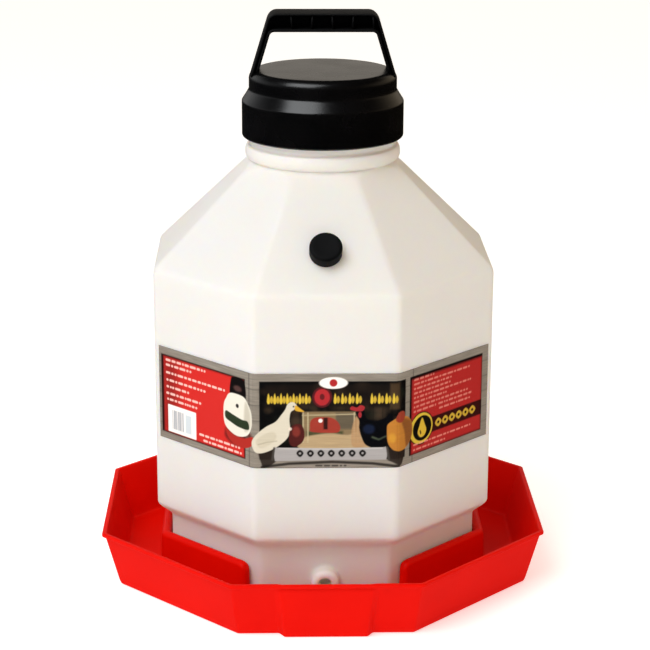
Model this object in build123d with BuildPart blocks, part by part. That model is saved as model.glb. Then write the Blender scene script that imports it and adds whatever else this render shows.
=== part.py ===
from build123d import *
import os
from math import cos, radians, tan

# An eight-sided poultry waterer: a drinking tray, a bottle that stands in it upright, a screw
# cap with a carrying handle, and a rubber stopper. Millimetres. The origin is the centre of the
# tray's underside, +Z is up and the side with the outlet faces -Y. The width of an octagon is
# measured across its flats, and one flat faces -Y.

# Tray
tray_height = 49.6
tray_floor_width = 350.0
tray_wall_top_width = 374.0
tray_rim_width = 379.4
tray_corner = 4.0
tray_wall = 2.2
tray_floor = 3.0
lip_height = 3.2
lip_rounding = 1.1

# Bay in the front wall of the tray, half widths and distances in front of the centre
bay_base_half = 33.4
bay_base_side = 38.6
bay_base_front = 182.6
bay_top_half = 37.0
bay_top_side = 43.5
bay_top_front = 188.2
bay_wall = 2.2

# Curb that holds the bottle's foot, open at the front
curb_thickness = 8.5
curb_top = 42.6
curb_rounding = 3.0
curb_groove = 3.5
curb_clearance = 1.25
curb_inner_corner = 7.0
curb_end_trim = 15.5

# Bottle
foot_width = 260.8
body_width = 285.0
bottle_corner = 9.0
bottle_wall = 2.4
foot_rounding = 5.0
step_low = 56.2
step_high = 71.2
shoulder_low = 277.6
shoulder_high = 359.6
neck_radius = 62.1
neck_bore = 57.5
neck_top = 411.6
bead_radius = 65.8
bead_low = 361.4
bead_middle = 366.9
bead_high = 373.6
push_up_radius = 92.0
push_up_height = 6.0

# Outlet at the foot of the bottle
outlet_height = 28.8
outlet_radius = 11.8
outlet_bore = 5.75
outlet_length = 12.0
outlet_rounding = 4.5

# Pocket for the stopper, part of the way up the front face of the shoulder
pocket_rise = 28.6
pocket_radius = 6.7
pocket_depth = 17.0
pocket_wall = 2.4

# Rubber stopper
stopper_head_radius = 13.4
stopper_head_length = 12.0
stopper_rounding = 2.2
stopper_shank_wide = 6.3
stopper_shank_narrow = 5.3
stopper_shank_length = 14.0

# Screw thread: one start, right hand, neck ridge and cap ridge half a pitch apart
thread_pitch = 8.0
thread_low = 390.6
neck_thread_turns = 1.5
cap_thread_turns = 1.0
thread_depth = 2.5
cap_thread_depth = 3.0
thread_root = 1.8
thread_crest = 0.8
thread_bite = 0.5

# Cap
cap_bottom = 380.0
cap_skirt_radius = 68.4
cap_bore = 65.8
cap_cone_low = 410.6
cap_cone_high = 419.8
cap_drum_radius = 62.4
cap_top = 436.1
cap_top_rounding = 7.2
cap_hem_rounding = 2.0
cap_ledge_radius = 64.0
cap_ledge_bore = 57.0
cap_ledge_thickness = 2.5
cap_drum_bore = 59.6
cap_top_wall = 3.1

# Gasket between the neck's rim and the cap's ledge
gasket_inner = 57.5
gasket_outer = 63.5
gasket_thickness = 2.5

# Handle
handle_depth = 32.0
handle_top = 485.3
handle_top_half = 45.2
handle_foot_half = 61.4
handle_foot_height = 432.1
handle_foot_drop = 4.2
handle_corner = 9.0
handle_leg = 6.2
handle_inner_corner = 4.0
grip_height = 15.8
grip_flange = 2.4
leg_flange = 1.9
web_thickness = 3.0
rib_thickness = 1.6
rib_count = 5
rib_spacing = 17.0
rib_shift = 7.5
rib_lean = 4.0

# Label: printed film round the three front faces of the bottle
label_low = 132.6
label_high = 213.6
label_film = 0.2
label_gap = 0.02
label_half_reach = 139.8

eighth = tan(radians(22.5))
step_stations = 6
curb_inner_width = foot_width + 2 * curb_clearance
curb_centre_width = curb_inner_width + curb_thickness

os.makedirs("parts", exist_ok=True)


def octagon(height, width, corner):
    """A flat-fronted octagon with rounded corners, lying at a height."""
    with BuildSketch(Plane.XY.offset(height), mode=Mode.PRIVATE) as outline:
        RegularPolygon(width / 2, 8, major_radius=False, rotation=22.5)
        fillet(outline.vertices(), corner)
    return outline.sketch


def bay_outline(height, half, side, front, root):
    """The plan of the bay at one height: a flat front and two slanted cheeks."""
    with BuildSketch(Plane.XY.offset(height), mode=Mode.PRIVATE) as outline:
        with BuildLine():
            Polyline(
                (-side, -root + 12), (-side, -root), (-half, -front),
                (half, -front), (side, -root), (side, -root + 12), close=True,
            )
        make_face()
    return outline.sketch


def curb_outline(height, thickness):
    """The plan of the curb: a band round seven of the eight sides, short of both front corners."""
    side = curb_centre_width * eighth
    with BuildSketch(Plane.XY.offset(height), mode=Mode.PRIVATE) as outline:
        with PolarLocations(curb_centre_width / 2, 5, start_angle=0, angular_range=180, endpoint=True):
            SlotCenterToCenter(side, thickness, rotation=90)
        for angle, shift in ((-45, curb_end_trim / 2), (225, -curb_end_trim / 2)):
            with PolarLocations(curb_centre_width / 2, 1, start_angle=angle):
                with Locations((0, shift)):
                    SlotCenterToCenter(side - curb_end_trim, thickness, rotation=90)
        inside = (curb_centre_width - thickness) / 2 / cos(radians(22.5))
        inner = [v for v in outline.vertices() if abs((v.X**2 + v.Y**2) ** 0.5 - inside) < 0.5]
        fillet(inner, curb_inner_corner)
    return outline.sketch


def step_width(share):
    """Width of the bottle between its foot and its body: an S-shaped blend, share 0 to 1."""
    return foot_width + (body_width - foot_width) * share * share * (3 - 2 * share)


def bottle_sections(inset):
    """Octagons up the bottle, from its foot to the top of its shoulder, moved in by inset."""
    stations = [(tray_floor, foot_width - 2 * foot_rounding)]
    stations += [(tray_floor + 0.3 * foot_rounding, foot_width - 0.6 * foot_rounding)]
    stations += [(tray_floor + foot_rounding, foot_width)]
    for index in range(step_stations + 1):
        share = index / step_stations
        stations += [(step_low + share * (step_high - step_low), step_width(share))]
    stations += [(shoulder_low, body_width), (shoulder_high, 2 * neck_radius)]
    lift = [inset] + [0.6 * inset] + [0.2 * inset] + [0.0] * (step_stations + 1)
    lift += [-0.4 * inset, -0.4 * inset]
    corner = bottle_corner - inset
    return [octagon(height + up, width - 2 * inset, corner) for (height, width), up in zip(stations, lift)]


def bottle_stack(inset):
    """The bottle's body as one solid, lofted straight from octagon to octagon."""
    sections = bottle_sections(inset)
    with BuildPart(mode=Mode.PRIVATE) as stack:
        loft(sections, ruled=True)
    return stack.part


# Front shoulder face: its slope, and the plane of the stopper's pocket on it
shoulder_run = body_width / 2 - neck_radius
shoulder_rise = shoulder_high - shoulder_low
shoulder_slant = (shoulder_run**2 + shoulder_rise**2) ** 0.5
pocket_share = pocket_rise / shoulder_rise
pocket_plane = Plane(
    origin=(0, -body_width / 2 + pocket_share * shoulder_run, shoulder_low + pocket_rise),
    x_dir=(1, 0, 0),
    z_dir=(0, -shoulder_rise / shoulder_slant, shoulder_run / shoulder_slant),
)
outlet_plane = Plane(
    origin=(0, -foot_width / 2 + bottle_wall, outlet_height), x_dir=(1, 0, 0), z_dir=(0, -1, 0)
)

# --- Tray -------------------------------------------------------------------------------------
tray_lip_low = tray_height - lip_height
wall_slope = (tray_wall_top_width - tray_floor_width) / tray_lip_low

with BuildPart(mode=Mode.PRIVATE) as curb:
    extrude(curb_outline(tray_floor - 0.5, curb_thickness), amount=curb_top - tray_floor + 0.5)
    fillet(curb.faces().sort_by(Axis.Z)[-1].edges(), curb_rounding)

with BuildPart() as tray:
    loft([octagon(0, tray_floor_width, tray_corner), octagon(tray_lip_low, tray_wall_top_width, tray_corner)])
    extrude(octagon(tray_lip_low, tray_rim_width, tray_corner), amount=lip_height)
    loft(
        [
            bay_outline(0, bay_base_half, bay_base_side, bay_base_front, tray_floor_width / 2),
            bay_outline(tray_lip_low, bay_top_half, bay_top_side, bay_top_front, tray_wall_top_width / 2),
        ],
        ruled=True,
    )
    loft(
        [
            octagon(tray_floor, tray_floor_width + wall_slope * tray_floor - 2 * tray_wall, tray_corner),
            octagon(tray_height, tray_floor_width + wall_slope * tray_height - 2 * tray_wall, tray_corner),
        ],
        mode=Mode.SUBTRACT,
    )
    loft(
        [
            bay_outline(tray_floor, bay_base_half - bay_wall / 2, bay_base_side - bay_wall,
                        bay_base_front - bay_wall, tray_floor_width / 2 - bay_wall),
            bay_outline(tray_lip_low, bay_top_half - bay_wall / 2, bay_top_side - bay_wall,
                        bay_top_front - bay_wall, tray_wall_top_width / 2 - bay_wall),
        ],
        ruled=True,
        mode=Mode.SUBTRACT,
    )
    add(curb.part)
    extrude(curb_outline(0, curb_groove), amount=curb_top - tray_floor, mode=Mode.SUBTRACT)
    lip_edges = tray.edges().filter_by_position(Axis.Z, tray_height - 0.01, tray_height + 0.01)
    fillet(lip_edges, lip_rounding)
tray.part.label = "tray"
export_step(tray.part, "parts/tray.step")

# --- Bottle -----------------------------------------------------------------------------------
outer_stack = bottle_stack(0.0)
inner_stack = bottle_stack(bottle_wall)

with BuildPart() as bottle:
    add(outer_stack)
    with BuildSketch(Plane.XZ):
        with BuildLine():
            Polyline((0, shoulder_high - 4), (neck_radius, shoulder_high - 4), (neck_radius, bead_low))
            ThreePointArc((neck_radius, bead_low), (bead_radius, bead_middle), (neck_radius, bead_high))
            Polyline((neck_radius, bead_high), (neck_radius, neck_top), (0, neck_top), (0, shoulder_high - 4))
        make_face()
    revolve(axis=Axis.Z)
    with BuildSketch(outlet_plane):
        Circle(outlet_radius)
    extrude(amount=outlet_length + bottle_wall)
    outlet_rim = bottle.edges().filter_by(GeomType.CIRCLE).sort_by(Axis.Y)[0]
    fillet(outlet_rim, outlet_rounding)
    add(inner_stack, mode=Mode.SUBTRACT)
    with BuildSketch(Plane.XY.offset(shoulder_high - 12)):
        Circle(neck_bore)
    extrude(until=Until.LAST, mode=Mode.SUBTRACT)
    with BuildSketch(Plane.XY.offset(tray_floor)):
        Circle(push_up_radius + bottle_wall)
    extrude(amount=push_up_height + bottle_wall, taper=20)
    with BuildSketch(Plane.XY.offset(tray_floor)):
        Circle(push_up_radius)
    extrude(amount=push_up_height, taper=20, mode=Mode.SUBTRACT)
    with BuildSketch(pocket_plane):
        Circle(pocket_radius + pocket_wall)
    extrude(amount=-(pocket_depth + pocket_wall))
    with BuildSketch(pocket_plane):
        Circle(pocket_radius)
    extrude(amount=-pocket_depth, mode=Mode.SUBTRACT)
    with BuildSketch(outlet_plane.offset(-2 * bottle_wall)):
        Circle(outlet_bore)
    extrude(amount=outlet_length + 4 * bottle_wall, mode=Mode.SUBTRACT)
    with BuildLine():
        neck_helix = Helix(thread_pitch, thread_pitch * neck_thread_turns, neck_radius, center=(0, 0, thread_low))
    with BuildSketch(Plane(origin=neck_helix @ 0, x_dir=(1, 0, 0), z_dir=neck_helix % 0)):
        Polygon(
            (-thread_bite, -thread_root), (thread_depth, -thread_crest),
            (thread_depth, thread_crest), (-thread_bite, thread_root), align=None,
        )
    sweep(path=neck_helix, is_frenet=True)
bottle.part.label = "bottle"
export_step(bottle.part, "parts/bottle.step")

# --- Label ------------------------------------------------------------------------------------
label_inner_width = body_width + 2 * label_gap
label_outer_width = label_inner_width + 2 * label_film
label_end = body_width / 2 * (1 + eighth) - label_half_reach
with BuildPart() as label:
    extrude(octagon(label_low, label_outer_width, bottle_corner + label_film), amount=label_high - label_low)
    extrude(
        octagon(label_low, label_inner_width, bottle_corner),
        amount=label_high - label_low,
        mode=Mode.SUBTRACT,
    )
    with BuildSketch(Plane.XY.offset(label_low)):
        with BuildLine():
            Polyline(
                (-body_width, -body_width), (body_width, -body_width),
                (body_width, -label_end), (-body_width, -label_end), close=True,
            )
        make_face()
    extrude(amount=label_high - label_low, mode=Mode.INTERSECT)
label.part.label = "label"
export_step(label.part, "parts/label.step")

# --- Stopper ----------------------------------------------------------------------------------
with BuildPart() as stopper:
    with BuildSketch(pocket_plane):
        Circle(stopper_head_radius)
    extrude(amount=stopper_head_length)
    fillet(stopper.edges().filter_by(GeomType.CIRCLE), stopper_rounding)
    with BuildSketch(pocket_plane):
        Circle(stopper_shank_wide)
    with BuildSketch(pocket_plane.offset(-stopper_shank_length)):
        Circle(stopper_shank_narrow)
    loft()
stopper.part.label = "stopper"
export_step(stopper.part, "parts/stopper.step")

# --- Gasket -----------------------------------------------------------------------------------
with BuildPart() as cap_gasket:
    with BuildSketch(Plane.XY.offset(neck_top)):
        Circle(gasket_outer)
        Circle(gasket_inner, mode=Mode.SUBTRACT)
    extrude(amount=gasket_thickness)
cap_gasket.part.label = "cap_gasket"
export_step(cap_gasket.part, "parts/cap_gasket.step")

# --- Cap --------------------------------------------------------------------------------------
ledge_height = neck_top + gasket_thickness
with BuildPart() as cap_outside:
    with BuildSketch(Plane.XY.offset(cap_cone_high)):
        Circle(cap_drum_radius)
    extrude(amount=cap_top - cap_cone_high)
    fillet(cap_outside.edges().group_by(Axis.Z)[-1], cap_top_rounding)

with BuildPart() as cap:
    with BuildSketch(Plane.XZ) as cap_section:
        with BuildLine():
            Polyline(
                (0, cap_top),
                (cap_drum_radius, cap_top),
                (cap_drum_radius, cap_cone_high),
                (cap_skirt_radius, cap_cone_low),
                (cap_skirt_radius, cap_bottom),
                (cap_bore, cap_bottom),
                (cap_bore, cap_cone_low - 3),
                (cap_ledge_radius, cap_cone_low),
                (cap_ledge_radius, ledge_height),
                (cap_ledge_bore, ledge_height),
                (cap_ledge_bore, ledge_height + cap_ledge_thickness),
                (cap_drum_bore, ledge_height + cap_ledge_thickness),
                (cap_drum_bore, cap_top - cap_top_wall),
                (0, cap_top - cap_top_wall),
                close=True,
            )
        make_face()
        top_corner = cap_section.vertices().sort_by_distance((cap_drum_radius, cap_top))[0]
        fillet(top_corner, cap_top_rounding)
        hem_corner = cap_section.vertices().sort_by_distance((cap_skirt_radius, cap_bottom))[0]
        fillet(hem_corner, cap_hem_rounding)
    revolve(axis=Axis.Z)
    with BuildLine():
        cap_helix = Helix(
            thread_pitch, thread_pitch * cap_thread_turns, cap_bore,
            center=(0, 0, thread_low - thread_pitch / 2),
        )
    with BuildSketch(Plane(origin=cap_helix @ 0, x_dir=(1, 0, 0), z_dir=cap_helix % 0)):
        Polygon(
            (thread_bite, -thread_root), (-cap_thread_depth, -thread_crest),
            (-cap_thread_depth, thread_crest), (thread_bite, thread_root), align=None,
        )
    sweep(path=cap_helix, is_frenet=True)
cap.part.label = "cap"
export_step(cap.part, "parts/cap.step")

# --- Handle -----------------------------------------------------------------------------------
# An I-section bent into a carrying loop: an outer and an inner flange the whole way round, a
# web between them on the middle plane, and upright ribs across the web of the grip. Its feet
# lie on the cap's rounded edge, flush with the drum.
lean = (handle_foot_half - handle_top_half) / (handle_top - handle_foot_height)
foot_low = cap_top - handle_foot_drop
foot_low_half = handle_foot_half + lean * (handle_foot_height - foot_low)
grip_low = handle_top - grip_height
grip_low_half = handle_top_half + lean * grip_height - handle_leg
foot_low_inner = foot_low_half - handle_leg


with BuildPart() as handle:
    with BuildSketch(Plane.XZ) as handle_outline:
        Polygon(
            (-foot_low_half, foot_low), (-handle_top_half, handle_top),
            (handle_top_half, handle_top), (foot_low_half, foot_low), align=None,
        )
        fillet(handle_outline.vertices().group_by(Axis.Y)[-1], handle_corner)
        with BuildSketch(mode=Mode.SUBTRACT) as handle_window:
            Polygon(
                (-foot_low_inner, foot_low), (-grip_low_half, grip_low),
                (grip_low_half, grip_low), (foot_low_inner, foot_low), align=None,
            )
            fillet(handle_window.vertices().group_by(Axis.Y)[-1], handle_inner_corner)
    extrude(amount=handle_depth / 2, both=True)
    # channels in the front and the back, between the two flanges
    for side in (-1, 1):
        channel_plane = Plane.XZ.offset(side * web_thickness / 2)
        channel_depth = side * (handle_depth - web_thickness) / 2
        with BuildSketch(channel_plane) as channel:
            Polygon(
                (-foot_low_half + leg_flange, foot_low), (-handle_top_half + leg_flange, handle_top - grip_flange),
                (handle_top_half - leg_flange, handle_top - grip_flange), (foot_low_half - leg_flange, foot_low),
                align=None,
            )
            fillet(channel.vertices().group_by(Axis.Y)[-1], handle_corner - leg_flange)
            with BuildSketch(mode=Mode.SUBTRACT) as channel_core:
                Polygon(
                    (-foot_low_inner - leg_flange, foot_low), (-grip_low_half - leg_flange, grip_low + grip_flange),
                    (grip_low_half + leg_flange, grip_low + grip_flange), (foot_low_inner + leg_flange, foot_low),
                    align=None,
                )
                fillet(channel_core.vertices().group_by(Axis.Y)[-1], handle_inner_corner)
        extrude(amount=channel_depth, mode=Mode.SUBTRACT)
    # ribs across the grip's web
    rib_height = grip_height - 2 * grip_flange + 0.4
    rib_middle = grip_low + grip_height / 2
    with BuildSketch(Plane.XZ):
        for index in range(rib_count):
            rib_x = (index - (rib_count - 1) / 2) * rib_spacing + rib_shift
            with Locations((rib_x, rib_middle)):
                Rectangle(rib_thickness, rib_height, rotation=rib_lean * (-1) ** index)
    extrude(amount=handle_depth / 2 - 0.6, both=True)
    # keep the feet within the drum's circle, then take the cap's own outside away
    with BuildSketch(Plane.XY.offset(foot_low)):
        Circle(cap_drum_radius)
    extrude(amount=handle_top - foot_low, mode=Mode.INTERSECT)
    add(cap_outside.part, mode=Mode.SUBTRACT)
handle.part.label = "handle"
export_step(handle.part, "parts/handle.step")
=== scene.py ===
from math import cos, pi, radians, sin, tan

import bmesh
import bpy
import numpy as np
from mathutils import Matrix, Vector


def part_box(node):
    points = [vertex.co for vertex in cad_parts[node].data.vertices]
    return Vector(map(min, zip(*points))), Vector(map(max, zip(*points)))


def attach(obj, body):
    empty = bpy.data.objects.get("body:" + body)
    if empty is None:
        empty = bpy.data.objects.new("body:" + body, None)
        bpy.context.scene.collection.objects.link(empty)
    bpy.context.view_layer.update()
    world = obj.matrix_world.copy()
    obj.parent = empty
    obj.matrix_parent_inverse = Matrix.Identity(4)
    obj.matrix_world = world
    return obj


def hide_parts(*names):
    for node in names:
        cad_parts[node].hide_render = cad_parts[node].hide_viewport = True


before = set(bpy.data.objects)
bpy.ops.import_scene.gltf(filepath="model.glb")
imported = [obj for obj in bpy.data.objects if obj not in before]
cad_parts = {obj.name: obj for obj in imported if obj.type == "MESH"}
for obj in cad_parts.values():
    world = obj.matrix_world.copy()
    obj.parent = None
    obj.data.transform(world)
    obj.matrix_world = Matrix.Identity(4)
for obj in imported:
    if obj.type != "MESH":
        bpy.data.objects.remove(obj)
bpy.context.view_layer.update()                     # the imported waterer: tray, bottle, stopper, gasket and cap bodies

mm = 0.001                            # shapes are written in millimetres and stored in metres
eighthTan = tan(radians(22.5))
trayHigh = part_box("tray")[1]
bottleLow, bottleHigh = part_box("bottle")
capLow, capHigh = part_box("cap")
handleLow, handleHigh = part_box("handle")
gasketLow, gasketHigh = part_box("cap_gasket")
labelLow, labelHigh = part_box("label")

rimHalf = trayHigh.x / mm             # half widths across flats, and heights, all in millimetres
trayTop = trayHigh.z / mm
floorTop = bottleLow.z / mm
bodyHalf = bottleHigh.x / mm
neckTop = bottleHigh.z / mm
capRadius = capHigh.x / mm
capBottom = capLow.z / mm
capTop = capHigh.z / mm
handleTop = handleHigh.z / mm
handleDepth = (handleHigh.y - handleLow.y) / mm
footInset = 12.1                      # the bottle's foot is this much narrower, each side, than its body


# Quads of a grid of points stored row by row; wrap joins the last column to the first.
def gridQuads(rows, columns, wrap=False, first=0):
    index = first + np.arange(rows * columns).reshape(rows, columns)
    if wrap:
        index = np.concatenate([index, index[:, :1]], axis=1)
    return np.stack([index[:-1, :-1], index[:-1, 1:], index[1:, 1:], index[1:, :-1]], axis=-1).reshape(-1, 4)


# Triangles from a closed ring of point numbers to one pole.
def fan(ring, pole, inward=False):
    after = np.roll(ring, -1)
    first, second = (after, ring) if inward else (ring, after)
    return np.stack([first, second, np.full(len(ring), pole)], axis=-1)


# A mesh from points in millimetres and face arrays, smooth shaded, riding on a body.
def makePiece(name, points, faces, material, body, node, weld=0.0):
    mesh = bpy.data.meshes.new(name)
    faceList = [row for block in faces for row in np.asarray(block).tolist()]
    mesh.from_pydata((np.asarray(points, float) * mm).tolist(), [], faceList)
    mesh.validate()
    piece = bpy.data.objects.new(name, mesh)
    bpy.context.collection.objects.link(piece)
    if weld:
        weldPoints(mesh, weld)
    mesh.shade_smooth()
    mesh.materials.append(material)
    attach(piece, body)
    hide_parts(node)
    return piece


# Joins points closer than distance, in metres, and turns every face outwards.
def weldPoints(mesh, distance):
    work = bmesh.new()
    work.from_mesh(mesh)
    bmesh.ops.remove_doubles(work, verts=work.verts, dist=distance)
    bmesh.ops.recalc_face_normals(work, faces=work.faces)
    work.to_mesh(mesh)
    work.free()


# Points of an arc in a (radius, height) section, angles in degrees.
def arc(centreR, centreZ, radius, start, end, steps):
    turn = np.radians(np.linspace(start, end, steps + 1))
    return np.stack([centreR + radius * np.cos(turn), centreZ + radius * np.sin(turn)], axis=-1)


# Rounded octagons, one row of points for each (apothem, corner radius, height). Each side is a
# flat, with a point at each fraction of its straight half length, then an arc of 45 degrees about
# the corner's centre. The first side faces -Y and the rows run anticlockwise.
def octagonRows(apothem, corner, height, fractions, arcSteps):
    apothem, corner, height = (np.asarray(v, float)[:, None] for v in (apothem, corner, height))
    rows = []
    for side in range(8):
        facing = radians(-90 + 45 * side)
        outward = np.array([cos(facing), sin(facing)])
        along = np.array([-sin(facing), cos(facing)])
        straight = (apothem - corner) * eighthTan * fractions[None, :]
        flat = apothem[..., None] * outward + straight[..., None] * along
        centre = (apothem - corner) / cos(radians(22.5))
        towards = facing + radians(22.5)
        turn = facing + np.linspace(0, pi / 4, arcSteps + 1)[1:-1]
        bend = np.stack([centre * cos(towards) + corner * np.cos(turn),
                         centre * sin(towards) + corner * np.sin(turn)], axis=-1)
        rows += [flat, bend]
    plan = np.concatenate(rows, axis=1)
    return np.concatenate([plan, np.broadcast_to(height[..., None], plan.shape[:2] + (1,))], axis=-1)


# A closed (radius, height) section turned about an axis; a radius of 0 at an end is a pole.
def lathe(section, steps, name, material, body, node, centre=None, axes=None):
    section = np.asarray(section, float)
    turn = np.linspace(0, 2 * pi, steps, endpoint=False)
    poleStart, poleEnd = section[0, 0] < 1e-6, section[-1, 0] < 1e-6
    inner = section[int(poleStart):len(section) - int(poleEnd)]
    ring = np.stack([np.cos(turn), np.sin(turn)], axis=-1)
    heights = np.broadcast_to(inner[:, None, 1:], (len(inner), steps, 1))
    local = np.concatenate([inner[:, None, :1] * ring, heights], axis=-1)
    points = [local.reshape(-1, 3)]
    faces = [gridQuads(len(inner), steps, wrap=True)]
    count = len(inner) * steps
    if not (poleStart or poleEnd):
        seam = np.stack([np.arange(steps) + (len(inner) - 1) * steps,
                         np.roll(np.arange(steps), -1) + (len(inner) - 1) * steps,
                         np.roll(np.arange(steps), -1), np.arange(steps)], axis=-1)
        faces.append(seam)
    if poleStart:
        points.append([[0, 0, section[0, 1]]])
        faces.append(fan(np.arange(steps), count, inward=True))
        count += 1
    if poleEnd:
        points.append([[0, 0, section[-1, 1]]])
        faces.append(fan(np.arange(steps) + (len(inner) - 1) * steps, count))
    points = np.concatenate(points)
    if axes is not None:
        points = centre + points @ axes
    return makePiece(name, points, faces, material, body, node, weld=1e-7)


# An sRGB hex colour as linear RGBA.
def linear(code):
    parts = np.array([int(code[i:i + 2], 16) / 255 for i in (1, 3, 5)])
    flat = np.where(parts <= 0.04045, parts / 12.92, ((parts + 0.055) / 1.055) ** 2.4)
    return (*flat.tolist(), 1.0)


# Adds a node, sets its properties, then its inputs: a socket is linked, a value is stored.
def addNode(tree, kind, inputs=None, **settings):
    node = tree.nodes.new(kind)
    for name, value in settings.items():
        setattr(node, name, value)
    for name, value in (inputs or {}).items():
        if isinstance(value, bpy.types.NodeSocket):
            tree.links.new(value, node.inputs[name])
        else:
            node.inputs[name].default_value = value
    return node


# An empty node material with its output, and the object coordinates that patterns read.
def newMaterial(name):
    material = bpy.data.materials.new(name)
    material.use_nodes = True
    tree = material.node_tree
    tree.nodes.clear()
    surface = addNode(tree, "ShaderNodeOutputMaterial").inputs["Surface"]
    spot = addNode(tree, "ShaderNodeTexCoord").outputs["Object"]
    return material, tree, surface, spot


# A colour ramp over (position, hex or grey) stops.
def ramp(tree, factor, stops):
    node = addNode(tree, "ShaderNodeValToRGB", {"Fac": factor})
    elements = node.color_ramp.elements
    while len(elements) < len(stops):
        elements.new(0.5)
    for element, (position, colour) in zip(elements, stops):
        element.position = position
        element.color = linear(colour) if isinstance(colour, str) else (colour, colour, colour, 1)
    return node.outputs["Color"]


# Injection-moulded polypropylene, opaque red: a semi-gloss skin with a faint flow mottling.
def makeTrayPlastic():
    material, tree, surface, spot = newMaterial("mouldedRedPolypropylene")
    broad = addNode(tree, "ShaderNodeTexNoise", {"Vector": spot, "Scale": 22.0, "Detail": 3.0})
    colour = ramp(tree, broad.outputs["Fac"], [(0.3, "#DA0A00"), (0.7, "#E00C00")])
    gloss = addNode(tree, "ShaderNodeMapRange", {
        "Value": broad.outputs["Fac"], "From Min": 0.3, "From Max": 0.7, "To Min": 0.40, "To Max": 0.50})
    fine = addNode(tree, "ShaderNodeTexNoise", {"Vector": spot, "Scale": 900.0, "Detail": 2.0})
    grain = addNode(tree, "ShaderNodeBump", {"Height": fine.outputs["Fac"],
                                             "Strength": 0.05, "Distance": 0.0003})
    shader = addNode(tree, "ShaderNodeBsdfPrincipled", {
        "Base Color": colour, "Roughness": gloss.outputs["Result"], "IOR": 1.49,
        "Normal": grain.outputs["Normal"], "Specular IOR Level": 0.06, "Subsurface Weight": 0.12,
        "Subsurface Radius": (0.006, 0.001, 0.0006), "Subsurface Scale": 0.6})
    tree.links.new(shader.outputs["BSDF"], surface)
    return material


# Blow-moulded natural polyethylene: milky ivory, light wanders under the skin, soft sheen.
def makeBottlePlastic():
    material, tree, surface, spot = newMaterial("milkyPolyethylene")
    broad = addNode(tree, "ShaderNodeTexNoise", {"Vector": spot, "Scale": 9.0, "Detail": 2.0})
    colour = ramp(tree, broad.outputs["Fac"], [(0.3, "#F7F5F1"), (0.7, "#FBFAF7")])
    wave = addNode(tree, "ShaderNodeTexNoise", {"Vector": spot, "Scale": 30.0, "Detail": 1.5})
    skin = addNode(tree, "ShaderNodeBump", {"Height": wave.outputs["Fac"],
                                            "Strength": 0.25, "Distance": 0.0012})
    shader = addNode(tree, "ShaderNodeBsdfPrincipled", {
        "Base Color": colour, "Roughness": 0.42, "IOR": 1.54, "Normal": skin.outputs["Normal"],
        "Subsurface Weight": 0.9, "Subsurface Radius": (1.0, 0.75, 0.5), "Subsurface Scale": 0.004})
    through = addNode(tree, "ShaderNodeBsdfTranslucent", {"Color": linear("#FFF3E4")})
    wall = addNode(tree, "ShaderNodeMixShader", {
        0: 0.3, 1: shader.outputs["BSDF"], 2: through.outputs["BSDF"]})
    tree.links.new(wall.outputs["Shader"], surface)
    return material


# Moulded black polypropylene with a fine spark-eroded mould texture: deep black, broad highlights.
def makeBlackPlastic(name, smoothest, roughest, sheen):
    material, tree, surface, spot = newMaterial(name)
    fine = addNode(tree, "ShaderNodeTexNoise", {"Vector": spot, "Scale": 1400.0, "Detail": 2.0})
    grain = addNode(tree, "ShaderNodeBump", {"Height": fine.outputs["Fac"],
                                             "Strength": 0.06, "Distance": 0.0002})
    broad = addNode(tree, "ShaderNodeTexNoise", {"Vector": spot, "Scale": 35.0, "Detail": 3.0})
    gloss = addNode(tree, "ShaderNodeMapRange", {
        "Value": broad.outputs["Fac"], "From Min": 0.3, "From Max": 0.7,
        "To Min": smoothest, "To Max": roughest})
    colour = ramp(tree, broad.outputs["Fac"], [(0.3, "#030304"), (0.7, "#060506")])
    shader = addNode(tree, "ShaderNodeBsdfPrincipled", {
        "Base Color": colour, "Roughness": gloss.outputs["Result"], "IOR": 1.49, "Specular IOR Level": sheen,
        "Normal": grain.outputs["Normal"]})
    tree.links.new(shader.outputs["BSDF"], surface)
    return material


# Compression-moulded rubber: matt, slightly dusty, with no clear highlight.
def makeRubber(name, dark, light):
    material, tree, surface, spot = newMaterial(name)
    dust = addNode(tree, "ShaderNodeTexNoise", {"Vector": spot, "Scale": 160.0, "Detail": 4.0})
    colour = ramp(tree, dust.outputs["Fac"], [(0.35, dark), (0.75, light)])
    fine = addNode(tree, "ShaderNodeTexNoise", {"Vector": spot, "Scale": 1200.0, "Detail": 2.0})
    grain = addNode(tree, "ShaderNodeBump", {"Height": fine.outputs["Fac"],
                                             "Strength": 0.15, "Distance": 0.0003})
    shader = addNode(tree, "ShaderNodeBsdfPrincipled", {
        "Base Color": colour, "Roughness": 0.72, "IOR": 1.52, "Specular IOR Level": 0.2,
        "Normal": grain.outputs["Normal"]})
    tree.links.new(shader.outputs["BSDF"], surface)
    return material


# Printed polypropylene film: the ink is a colour attribute, and its alpha says how much paper-like
# grain the print carries, so the weathered boards look like wood and the flat red stays flat.
def makeLabelFilm():
    material, tree, surface, spot = newMaterial("printedFilm")
    ink = addNode(tree, "ShaderNodeAttribute", attribute_name="ink")
    stretch = addNode(tree, "ShaderNodeMapping", {"Vector": spot, "Scale": (60.0, 60.0, 900.0)})
    boards = addNode(tree, "ShaderNodeTexNoise", {"Vector": stretch.outputs["Vector"], "Detail": 4.0,
                                                  "Scale": 1.0})
    grainTone = ramp(tree, boards.outputs["Fac"], [(0.3, 0.7), (0.7, 1.0)])
    grained = addNode(tree, "ShaderNodeMix", {0: ink.outputs["Alpha"], 6: ink.outputs["Color"], 7: grainTone},
                      data_type="RGBA", blend_type="MULTIPLY")
    shader = addNode(tree, "ShaderNodeBsdfPrincipled", {"Roughness": 0.36, "IOR": 1.49})
    tree.links.new(grained.outputs[2], shader.inputs["Base Color"])
    tree.links.new(shader.outputs["BSDF"], surface)
    return material


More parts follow.
